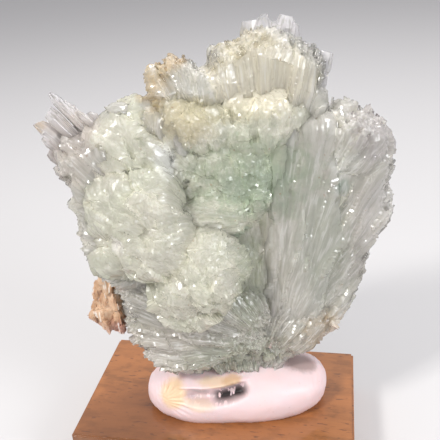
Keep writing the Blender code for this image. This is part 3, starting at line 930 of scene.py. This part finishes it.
def closed_shell(name, corners, faces=()):
    """A shell with these corners and faces or, with no faces given, the convex lump that the corners span."""
    mesh = bpy.data.meshes.new(name)
    mesh.from_pydata(corners, [], faces)
    thing = bpy.data.objects.new(name, mesh)
    bpy.context.scene.collection.objects.link(thing)
    choose(thing)
    bpy.ops.object.mode_set(mode="EDIT")
    bpy.ops.mesh.select_all(action="SELECT")
    if not faces:
        bpy.ops.mesh.convex_hull()
        bpy.ops.mesh.select_all(action="SELECT")
    bpy.ops.mesh.normals_make_consistent(inside=False)
    bpy.ops.object.mode_set(mode="OBJECT")
    return thing


def join_up(name, things):
    """Joins objects into one with this name."""
    deselect_all()
    for thing in things:
        thing.select_set(True)
    bpy.context.view_layer.objects.active = things[0]
    bpy.ops.object.join()
    return name_new(name)


def remesh(thing, voxel, smooth):
    """Fuses what overlaps into one closed skin."""
    fuse = thing.modifiers.new("fuse", "REMESH")
    fuse.mode = "VOXEL"
    fuse.voxel_size = voxel
    fuse.use_smooth_shade = True
    thing.modifiers.new("soften", "SMOOTH").iterations = smooth
    apply_all(thing)


def corners_of(thing, field="co"):
    """The places of a mesh's corners or, with field normal, the way out at each."""
    flat = np.empty(len(thing.data.vertices) * 3, np.float32)
    thing.data.vertices.foreach_get(field, flat)
    return flat.reshape(-1, 3).astype(float)


def push_out(thing, rise):
    """Moves each corner out along its normal by its own rise."""
    put_corners(thing, corners_of(thing) + corners_of(thing, "normal") * rise[:, None])


def put_corners(thing, corners):
    thing.data.vertices.foreach_set("co", corners.astype(np.float32).ravel())
    thing.data.update()


def add_attribute(thing, name, values):
    """Keeps a number, or a vector, at each corner for the material to read."""
    kind, field = ("FLOAT_VECTOR", "vector") if values.ndim == 2 else ("FLOAT", "value")
    layer = thing.data.attributes.new(name, kind, "POINT")
    layer.data.foreach_set(field, values.astype(np.float32).ravel())


def near_line(points, line):
    """How far each point is from a line of points."""
    best = np.full(len(points), 1e9)
    for start, end in zip(line[:-1], line[1:]):
        start = np.array(start, float)
        run = np.array(end, float) - start
        share = np.clip((points - start) @ run / (run @ run), 0, 1)
        best = np.minimum(best, np.linalg.norm(points - start - share[:, None] * run, axis=1))
    return best


def build_web(fan):
    """The milky body of a fan, a little inside its needles on all sides."""
    root = np.array(fan.root, float)
    layers = []
    for offset in (-1.0, -0.5, 0.0, 0.5, 1.0):
        rim = root + (np.array(fan.edge, float) - root) * (WEB_REACH - fan.droop * offset ** 2)
        rim += np.array([0, offset * fan.depth / 2, 0])
        layers.append(rim)
    front = root + np.array([0, -fan.depth * 0.2, 0])
    back = root + np.array([0, fan.depth * 0.2, 0])
    count = len(fan.edge)
    corners = [*np.concatenate(layers), front, back]
    head, tail = len(corners) - 2, len(corners) - 1
    last = (len(layers) - 1) * count
    faces = []
    for step in range(count - 1):
        faces.append((head, step, step + 1))
        faces.append((tail, last + step + 1, last + step))
        for layer in range(len(layers) - 1):
            low = layer * count + step
            faces.append((low, low + count, low + count + 1, low + 1))
    starts = [layer * count for layer in range(len(layers))]
    faces.append((head, tail, *reversed(starts)))
    faces.append((tail, head, *[start + count - 1 for start in starts]))
    return closed_shell("web", [tuple(corner) for corner in corners], faces)


def broken_up(keys, wide, step, tilt, dice):
    """How far each point stands out, when the surface breaks into bundles with flat, tilted ends."""
    order = dice.permutation(len(keys))
    _, first = np.unique(np.floor(keys[order] / wide), axis=0, return_index=True)
    heads = order[first]
    group = nearest(keys, heads)
    slope = dice.normal(0, tilt, (len(heads), 3))[group]
    rise = dice.normal(0, step, len(heads))[group]
    return rise + np.einsum("ij,ij->i", keys - keys[heads][group], slope)


def body_relief(corners, masses, fans, wide):
    """The way from each point's own root to it, along which the fibres run, and how far it stands out."""
    specs = [(mass.spec, mass.depth(corners)) for mass in masses]
    best = np.argmax([depth for _, depth in specs], axis=0)
    roots = np.array([spec.root for spec, _ in specs], float)[best]
    deep = np.max([depth for _, depth in specs], axis=0)
    rim = np.zeros(len(corners))
    for fan in fans:
        edge = np.array(fan.edge, float)
        reach = near_line(corners * EDGE_DEPTH, edge * EDGE_DEPTH)
        rim = np.maximum(rim, np.exp(-(reach / RIM_REACH) ** 2))
        near_rim = (deep < -FAN_OUTSIDE) & (reach < FAN_NEAR)
        roots[near_rim] = fan.root
        deep = np.where(near_rim, -reach * 0.01, deep)
    rays = unit(corners - roots)
    far = np.linalg.norm(corners - roots, axis=1)
    keys = rays * (1 + far * BUNDLE_BREAK)[:, None] + roots * 0.05
    dice = np.random.default_rng(BUNDLE_SEED)
    relief = lumps(rays, FIBRE_SWELL_WIDE, 4) * FIBRE_SWELL_TALL
    for share, step, tilt in BUNDLE_SIZES:
        relief += broken_up(keys, wide * share, step, tilt, dice)
    return keys, relief * (1 + rim * RIM_GAIN), rim


def build_lobe(ball):
    """A squashed ball, as a start for one rounded mass."""
    deselect_all()
    bpy.ops.mesh.primitive_uv_sphere_add(segments=LOBE_SEGMENTS, ring_count=LOBE_RINGS, radius=1,
                                         location=ball.middle, scale=ball.radii)
    lobe = name_new("lobe")
    bpy.ops.object.transform_apply(location=True, rotation=True, scale=True)
    return lobe


def build_slab(spec):
    """A convex slab with enough corners to swell."""
    slab = closed_shell("slab", spec.corners)
    bpy.ops.object.mode_set(mode="EDIT")
    bpy.ops.mesh.select_all(action="SELECT")
    bpy.ops.mesh.subdivide(number_cuts=SLAB_CUTS)
    bpy.ops.object.mode_set(mode="OBJECT")
    return slab


def build_body(name, masses, fans, voxel, wide, rise, blend):
    """The milky body of one group of sprays, broken into bundles, up to just below its needles' ends."""
    parts = [build_web(fan) for fan in fans]
    for mass in masses:
        part = build_lobe(mass.spec) if isinstance(mass.spec, Ball) else build_slab(mass.spec)
        push_out(part, mass.swell(corners_of(part)) - CORE_BELOW)
        parts.append(part)
    body = join_up(name, parts)
    remesh(body, voxel, 2)
    corners = corners_of(body)
    rays, relief, rim = body_relief(corners, masses, fans, wide)
    reach = BLEND_REACH * blend
    near = sum(np.exp(-(np.minimum(mass.depth(corners), 0) / reach) ** 2) for mass in MASSES.values())
    push_out(body, relief * rise + np.clip(near - 1, 0, 1) * BLEND_RISE * blend)
    choose(body)
    bpy.ops.object.shade_smooth_by_angle(angle=math.radians(CORE_CREASE))
    add_attribute(body, "ray", rays)
    add_attribute(body, "rim", rim)
    settle(body, TO_WORLD)
    print(name, "triangles", sum(len(face.vertices) - 2 for face in body.data.polygons))
    return body


# Large crystals: their sides, how flat they are and how far their foot narrows, how long and thin the
# slanted end is, its widths and leans in turn, the grooves' margin and depth, and how far each crystal is
# turned from the last. Lengths are in girths, leans in degrees and spins in radians.
BLADE_SIDES = 8
BLADE_FLAT = 0.55
BLADE_FOOT = 0.6
BLADE_END = 0.5
BLADE_END_THIN = 0.5
BLADE_END_WIDE = (0.6, 0.8, 0.5, 0.75)
BLADE_END_LEAN = (8, 14, 20)
GROOVE_EDGE = 0.06
GROOVE_DEEP = 0.035
BLADE_SPIN = 1.1
BLADE_FIRST_SPIN = 0.4

# How the grain of a large crystal is stretched along its length.
BLADE_GRAIN = np.array([0.02, 0.02, 0.001])


def build_blade(foot, tip, girth, index):
    """One large clear crystal: a grooved lath with a slanted chisel end."""
    foot, tip = Vector(foot), Vector(tip)
    length = (tip - foot).length
    deselect_all()
    bpy.ops.mesh.primitive_cylinder_add(vertices=BLADE_SIDES, radius=girth / 2, depth=length,
                                        location=(0, 0, length / 2))
    blade = name_new("blade")
    bpy.ops.object.transform_apply(location=True, rotation=True, scale=True)
    bpy.ops.object.mode_set(mode="EDIT")
    bpy.ops.mesh.select_mode(type="FACE")
    bpy.ops.mesh.select_all(action="SELECT")
    bpy.ops.transform.resize(value=(1.0, BLADE_FLAT, 1.0))
    shape = bmesh.from_edit_mesh(blade.data)
    for vert in shape.verts:
        if vert.co.z < 0.01:
            vert.co.x *= BLADE_FOOT
            vert.co.y *= BLADE_FOOT
        vert.select_set(False)
    shape.select_flush(False)
    for face in shape.faces:
        face.select_set(face.normal.z > 0.9)
    bmesh.update_edit_mesh(blade.data)
    bpy.ops.transform.translate(value=(0, 0, -girth * BLADE_END))
    bpy.ops.mesh.extrude_region_move(TRANSFORM_OT_translate={"value": (0, 0, girth * BLADE_END)})
    bpy.ops.transform.resize(value=(BLADE_END_WIDE[index % 4], BLADE_END_THIN, 1))
    bpy.ops.transform.rotate(value=math.radians(BLADE_END_LEAN[index % 3]), orient_axis="Y",
                             center_override=(0, 0, length))
    bpy.ops.mesh.select_mode(type="FACE")
    bpy.ops.mesh.select_all(action="DESELECT")
    shape = bmesh.from_edit_mesh(blade.data)
    shape.normal_update()
    for face in shape.faces:
        middle = face.calc_center_median()
        side = math.floor(math.atan2(middle.y / BLADE_FLAT, middle.x) / (math.tau / BLADE_SIDES))
        face.select_set(abs(face.normal.z) < 0.2 and side % 2 == 0)
    bmesh.update_edit_mesh(blade.data)
    bpy.ops.mesh.inset(thickness=girth * GROOVE_EDGE, depth=-girth * GROOVE_DEEP, use_individual=True)
    bpy.ops.object.mode_set(mode="OBJECT")
    add_attribute(blade, "ray", corners_of(blade) * BLADE_GRAIN + index)
    turn = (tip - foot).to_track_quat("Z", "Y").to_matrix().to_4x4()
    spin = Matrix.Rotation(BLADE_FIRST_SPIN + BLADE_SPIN * index, 4, "Z")
    blade.data.transform(Matrix.Translation(foot) @ turn @ spin)
    return blade


def grow(name, masses, fans, share, seed):
    """One piece of needles: over its masses and along its fans."""
    dice = np.random.default_rng(seed)
    groups = []
    for key in masses:
        others = [mass for other, mass in MASSES.items() if other != key]
        groups.append(mass_needles(MASSES[key], others, share, dice))
    for fan in fans.values():
        groups.append(fan_needles(fan, dice))
    return join_needles(name, [group for group in groups if group is not None], needle_shapes())


MASSES = {name: Mass(spec) for group in GROUPS for name, spec in group.items()}


# The photograph's camera, in millimetres above the block's top, and the ways it points.
CAMERA_SPOT = (42.43, -185.31, 166.86)
CAMERA_RIGHT = (0.98291, 0.17438, -0.05895)
CAMERA_UP = (-0.02523, 0.44480, 0.89527)
CAMERA_AHEAD = (-0.18234, 0.87849, -0.44160)
CAMERA_LENS = 51.95

# Name, place, size, power and tint of each soft lamp.
LAMPS = [
    ("key_lamp", (-0.45, -0.55, 0.75), 0.16, 7.0, (1.0, 0.98, 0.95)),
    ("fill_lamp", (0.7, -0.35, 0.45), 0.3, 3.5, (0.95, 0.97, 1.0)),
    ("rim_lamp", (0.15, 0.3, 0.95), 0.25, 5.0, (1.0, 1.0, 1.0)),
]

# The putty, in millimetres: a boxy lump turned a little, with a lip that rolls over a gouge, a raised end and
# a dent from which short rays spread.
PUTTY_SEGMENTS = 220
PUTTY_RINGS = 120
PUTTY_MIDDLE = (0.5, -2.5, PUTTY_TALL * 0.36)
PUTTY_RADII = (33.0, 15.5, PUTTY_TALL * 0.64)
PUTTY_TURN = -3.0
PUTTY_BOXY = 0.8
PUTTY_LIP = [(-19, -9.5, 14.6), (-12, -11.5, 15.6), (-4, -12, 16.6), (4, -9.8, 17)]
PUTTY_GOUGE = [(-15, -14.6, 12), (-9, -15.8, 11.8), (-4, -15.4, 12.6), (1, -13.8, 13.8)]
PUTTY_END = (29, -1, 12)
PUTTY_DENT = [(-24, -10, 12.5), (-20, -14, 9)]
LIP_REACH = 1.9
LIP_RISE = 1.2
LIP_ROLL = (0.0, -2.0, -1.4)
GOUGE_REACH = 3.2
GOUGE_DEEP = 5.0
END_REACH = 7.0
END_RISE = 2.0
DENT_REACH = 4.5
DENT_DEEP = 0.8
RAYS_FROM = (-27.0, 9.0)
RAYS_COUNT = 26
RAYS_DEEP = 0.3

# The rock's grain and sink in millimetres, then the size, unevenness and tilt of its broken faces, coarse and
# fine, and the corners of its two lumps.
ROCK_VOXEL = 0.4
ROCK_SINK = 0.3
ROCK_SEED = 21
ROCK_BREAKS = [(3.4, 0.45, 0.28), (1.3, 0.14, 0.22)]
ROCK_LUMPS = [
    [(-46, -6, 46), (-45, 3, 45), (-38, -9, 44), (-36, 4, 44), (-45, -7, 54), (-44, 2, 56), (-42, -7, 61),
     (-41, 1, 62.5), (-37, -8, 60), (-35, 2, 61)],
    [(-50, -4, 42), (-47, -8, 46.5), (-46.5, 1, 47), (-47, -3, 38.5), (-43, -9, 38), (-42, 3, 36.5),
     (-37, -8, 36), (-35, 2, 37), (-37, -9, 46), (-36, 2, 47)],
]


class SpecimenSettings(bpy.types.PropertyGroup):
    """Colours and sizes that someone who uses the specimen would change."""

    wood_colour: FloatVectorProperty(
        name="Wood", description="Middle colour of the varnished block", subtype="COLOR", size=4,
        min=0.0, max=1.0, default=screen(158, 100, 54))
    putty_colour: FloatVectorProperty(
        name="Putty", description="Colour of clean putty", subtype="COLOR", size=4,
        min=0.0, max=1.0, default=screen(234, 208, 208))
    floor_colour: FloatVectorProperty(
        name="Floor", description="Colour of the studio floor", subtype="COLOR", size=4,
        min=0.0, max=1.0, default=screen(196, 194, 194))
    light_power: FloatProperty(
        name="Light", description="Strength of the studio lights, as a share", subtype="FACTOR",
        min=0.0, max=4.0, default=1.0)


class GrowPiece:
    """What the operators for the sprays share: a milky body, and the needles that stand out of it.

    voxel is the body's grain in millimetres, wide how wide its bundles are as seen from the root, rise and
    blend how far bundles and filled hollows stand out, and share how much of the skin loose needles cover.
    """

    piece = ""
    masses = {}
    fans = {}
    seed = 0
    voxel = 0.6
    wide = 0.05
    rise = 1.0
    blend = 1.0
    share = 0.12
    body_finish = "milky_body"
    needle_finish = "milky_crystal"

    def execute(self, context):
        masses = [MASSES[key] for key in self.masses]
        body = build_body(f"{self.piece}_body", masses, list(self.fans.values()), self.voxel, self.wide,
                          self.rise, self.blend)
        hand_over(body, finish(self.body_finish), "aragonite", "aragonite_cluster")
        needles = grow(f"{self.piece}_needles", self.masses, self.fans, self.share, self.seed)
        hand_over(needles, finish(self.needle_finish), "aragonite", "aragonite_cluster")
        return {"FINISHED"}


class SPECIMEN_OT_front(GrowPiece, bpy.types.Operator):
    """Grows the rounded lobes at the front"""

    bl_idname = "specimen.front"
    bl_label = "Front Lobes"
    piece = "front_lobes"
    masses = FRONT_MASSES
    seed = 11
    voxel = 0.42
    wide = 0.075
    rise = 0.8
    blend = 1.35


class SPECIMEN_OT_middle(GrowPiece, bpy.types.Operator):
    """Grows the ledge and the green recess below it"""

    bl_idname = "specimen.middle"
    bl_label = "Ledge and Recess"
    piece = "ledge_and_recess"
    masses = MIDDLE_MASSES
    seed = 12
    rise = 0.75
    voxel = 0.55
    wide = 0.04


class SPECIMEN_OT_left(GrowPiece, bpy.types.Operator):
    """Grows the flat spray at the upper left"""

    bl_idname = "specimen.left"
    bl_label = "Left Spray"
    piece = "left_spray"
    masses = LEFT_MASSES
    fans = LEFT_FANS
    seed = 13
    rise = 0.85
    share = 0.3
    voxel = 0.5
    wide = 0.05
    body_finish = "silky_body"
    needle_finish = "silky_crystal"


class SPECIMEN_OT_crown(GrowPiece, bpy.types.Operator):
    """Grows the two upright sprays at the top"""

    bl_idname = "specimen.crown"
    bl_label = "Crown Sprays"
    piece = "crown_sprays"
    masses = CROWN_MASSES
    fans = CROWN_FANS
    seed = 14
    voxel = 0.42
    wide = 0.04
    rise = 0.65
    body_finish = "silky_body"
    needle_finish = "silky_crystal"


class SPECIMEN_OT_right(GrowPiece, bpy.types.Operator):
    """Grows the tall slab and spray on the right"""

    bl_idname = "specimen.right"
    bl_label = "Right Spray"
    piece = "right_spray"
    masses = RIGHT_MASSES
    fans = RIGHT_FANS
    seed = 15
    voxel = 0.6
    wide = 0.035
    rise = 0.75
    share = 0.3
    body_finish = "silky_body"
    needle_finish = "silky_crystal"


class SPECIMEN_OT_lower(GrowPiece, bpy.types.Operator):
    """Grows the coarser sprays above the putty"""

    bl_idname = "specimen.lower"
    bl_label = "Lower Sprays"
    piece = "lower_sprays"
    masses = LOWER_MASSES
    fans = LOWER_FANS
    seed = 16
    voxel = 0.6
    wide = 0.06
    share = 0.5
    body_finish = "glint_painted_body"
    needle_finish = "silky_crystal"


class SPECIMEN_OT_back(GrowPiece, bpy.types.Operator):
    """Grows the rounded lobes at the back"""

    bl_idname = "specimen.back"
    bl_label = "Back Lobes"
    piece = "back_lobes"
    masses = BACK_MASSES
    seed = 17
    voxel = 0.8
    wide = 0.05
    blend = 1.25


class SPECIMEN_OT_blades(bpy.types.Operator):
    """Models the large clear crystals one by one"""

    bl_idname = "specimen.blades"
    bl_label = "Clear Crystals"

    def execute(self, context):
        blades = [build_blade(*spec, index) for index, spec in enumerate(BLADES)]
        thing = join_up("clear_crystals", blades)
        settle(thing, TO_WORLD)
        hand_over(thing, finish("clear_body"), "aragonite", "aragonite_cluster")
        return {"FINISHED"}


class SPECIMEN_OT_rock(bpy.types.Operator):
    """Breaks the two lumps of brown rock out of their blanks"""

    bl_idname = "specimen.rock"
    bl_label = "Stained Rock"

    def execute(self, context):
        rock = join_up("stained_rock", [closed_shell("lump", corners) for corners in ROCK_LUMPS])
        remesh(rock, ROCK_VOXEL, 1)
        corners = corners_of(rock)
        dice = np.random.default_rng(ROCK_SEED)
        upright = corners * np.array([1, 1, 0.5])
        relief = lumps(upright, 1.2, 8) * 0.15 + lumps(corners, 5.0, 9) * 0.5 - ROCK_SINK
        for wide, step, tilt in ROCK_BREAKS:
            relief += broken_up(upright, wide, step, tilt, dice)
        push_out(rock, relief)
        choose(rock)
        bpy.ops.object.shade_smooth_by_angle(angle=math.radians(CORE_CREASE))
        settle(rock, TO_WORLD)
        hand_over(rock, stained_rock(), "matrix", "stained_matrix")
        return {"FINISHED"}


class SPECIMEN_OT_putty(bpy.types.Operator):
    """Presses the putty into its long lump, with the lip and the gouge that a finger left, darkened with
    painted shade
    """

    bl_idname = "specimen.putty"
    bl_label = "Mounting Putty"

    def execute(self, context):
        deselect_all()
        bpy.ops.mesh.primitive_uv_sphere_add(segments=PUTTY_SEGMENTS, ring_count=PUTTY_RINGS, radius=1)
        putty = name_new("pressed_putty")
        ball = corners_of(putty)
        ball = np.sign(ball) * np.abs(ball) ** PUTTY_BOXY
        corners = ball * np.array(PUTTY_RADII)
        turn = math.radians(PUTTY_TURN)
        side = corners[:, 0] * math.cos(turn) - corners[:, 1] * math.sin(turn)
        away = corners[:, 0] * math.sin(turn) + corners[:, 1] * math.cos(turn)
        corners = np.stack([side, away, corners[:, 2]], axis=1) + np.array(PUTTY_MIDDLE)
        put_corners(putty, corners)
        way = corners_of(putty, "normal")
        rise = lumps(corners, 14.0, 2) * 0.7 + lumps(corners, 5.0, 4) * 0.2
        rise += np.sin(corners[:, 0] * 4.2 + corners[:, 2] * 0.8 + lumps(corners, 8.0, 6) * 5) * 0.05
        lip = np.exp(-(near_line(corners, PUTTY_LIP) / LIP_REACH) ** 2)
        gouge = np.exp(-(near_line(corners, PUTTY_GOUGE) / GOUGE_REACH) ** 4)
        end = np.exp(-(np.linalg.norm(corners - np.array(PUTTY_END), axis=1) / END_REACH) ** 2)
        dent = np.exp(-(near_line(corners, PUTTY_DENT) / DENT_REACH) ** 2)
        around = np.arctan2(corners[:, 2] - RAYS_FROM[1], corners[:, 0] - RAYS_FROM[0])
        rise += lip * LIP_RISE - gouge * GOUGE_DEEP + end * END_RISE
        rise -= dent * (DENT_DEEP + RAYS_DEEP * np.sin(around * RAYS_COUNT))
        corners += way * rise[:, None]
        corners += np.array(LIP_ROLL) * lip[:, None] * (1 - gouge[:, None])
        corners[:, 2] = np.maximum(corners[:, 2], 0.0)
        put_corners(putty, corners)
        # How strongly painted shade darkens each point: in the gouge, weaker towards its left end.
        add_attribute(putty, "painted_gouge_shade", gouge * np.clip((corners[:, 0] + 9) / 3, 0.25, 1))
        bpy.ops.object.shade_smooth()
        settle(putty, TO_WORLD)
        hand_over(putty, pressed_putty(context.scene.specimen.putty_colour), "putty", "mounting_putty")
        return {"FINISHED"}


class SPECIMEN_OT_block(bpy.types.Operator):
    """Varnishes the wooden block of the frame"""

    bl_idname = "specimen.block"
    bl_label = "Wooden Block"

    def execute(self, context):
        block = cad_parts["wooden_block"]
        wood = varnished_wood(context.scene.specimen.wood_colour)
        for slot in block.material_slots:
            slot.material = wood
        return {"FINISHED"}


class SPECIMEN_OT_stage(bpy.types.Operator):
    """Sets out the floor, the lights and the camera"""

    bl_idname = "specimen.stage"
    bl_label = "Stage"

    def execute(self, context):
        settings = context.scene.specimen
        deselect_all()
        bpy.ops.mesh.primitive_plane_add(size=6.0)
        floor = name_new("studio_floor")
        material, _, _, _ = new_material("studio_floor", Base_Color=settings.floor_colour, Roughness=0.9)
        floor.data.materials.append(material)
        world = bpy.data.worlds.new("studio_air")
        world.use_nodes = True
        air = world.node_tree.nodes["Background"].inputs
        air["Color"].default_value = screen(236, 236, 240)
        air["Strength"].default_value = 0.7 * settings.light_power
        context.scene.world = world
        for name, spot, size, power, tint in LAMPS:
            bpy.ops.object.light_add(type="AREA", location=spot)
            lamp = context.active_object
            lamp.name = name
            lamp.rotation_euler = (Vector((0, 0, 0.08)) - Vector(spot)).to_track_quat("-Z", "Y").to_euler()
            lamp.data.size = size
            lamp.data.energy = power * settings.light_power
            lamp.data.color = tint
        bpy.ops.object.camera_add()
        camera = context.active_object
        camera.name = "camera"
        spot = Vector(CAMERA_SPOT) * MM + Vector((0, 0, BLOCK_TOP))
        ways = Matrix([CAMERA_RIGHT, CAMERA_UP, [-part for part in CAMERA_AHEAD]]).transposed()
        camera.matrix_world = Matrix.Translation(spot) @ ways.to_4x4()
        camera.data.lens = CAMERA_LENS
        camera.data.sensor_width = 36.0
        camera.data.clip_start = 0.01
        context.scene.camera = camera
        context.scene.view_settings.view_transform = "Standard"
        return {"FINISHED"}


STEPS = (SPECIMEN_OT_stage, SPECIMEN_OT_block, SPECIMEN_OT_putty, SPECIMEN_OT_rock,
         SPECIMEN_OT_front, SPECIMEN_OT_middle, SPECIMEN_OT_left, SPECIMEN_OT_crown, SPECIMEN_OT_right,
         SPECIMEN_OT_lower, SPECIMEN_OT_back, SPECIMEN_OT_blades)


class SPECIMEN_PT_panel(bpy.types.Panel):
    """Lists the steps that build the specimen"""

    bl_idname = "SPECIMEN_PT_panel"
    bl_label = "Specimen"
    bl_space_type = "VIEW_3D"
    bl_region_type = "UI"
    bl_category = "Specimen"

    def draw(self, context):
        for name in SpecimenSettings.__annotations__:
            self.layout.prop(context.scene.specimen, name)
        for step in STEPS:
            self.layout.operator(step.bl_idname)


CLASSES = (SpecimenSettings, *STEPS, SPECIMEN_PT_panel)


def register():
    for made in CLASSES:
        bpy.utils.register_class(made)
    bpy.types.Scene.specimen = PointerProperty(type=SpecimenSettings)


def unregister():
    del bpy.types.Scene.specimen
    for made in reversed(CLASSES):
        bpy.utils.unregister_class(made)


def main():
    register()
    for step in STEPS:
        family, name = step.bl_idname.split(".")
        getattr(getattr(bpy.ops, family), name)()


if __name__ == "__main__":
    main()
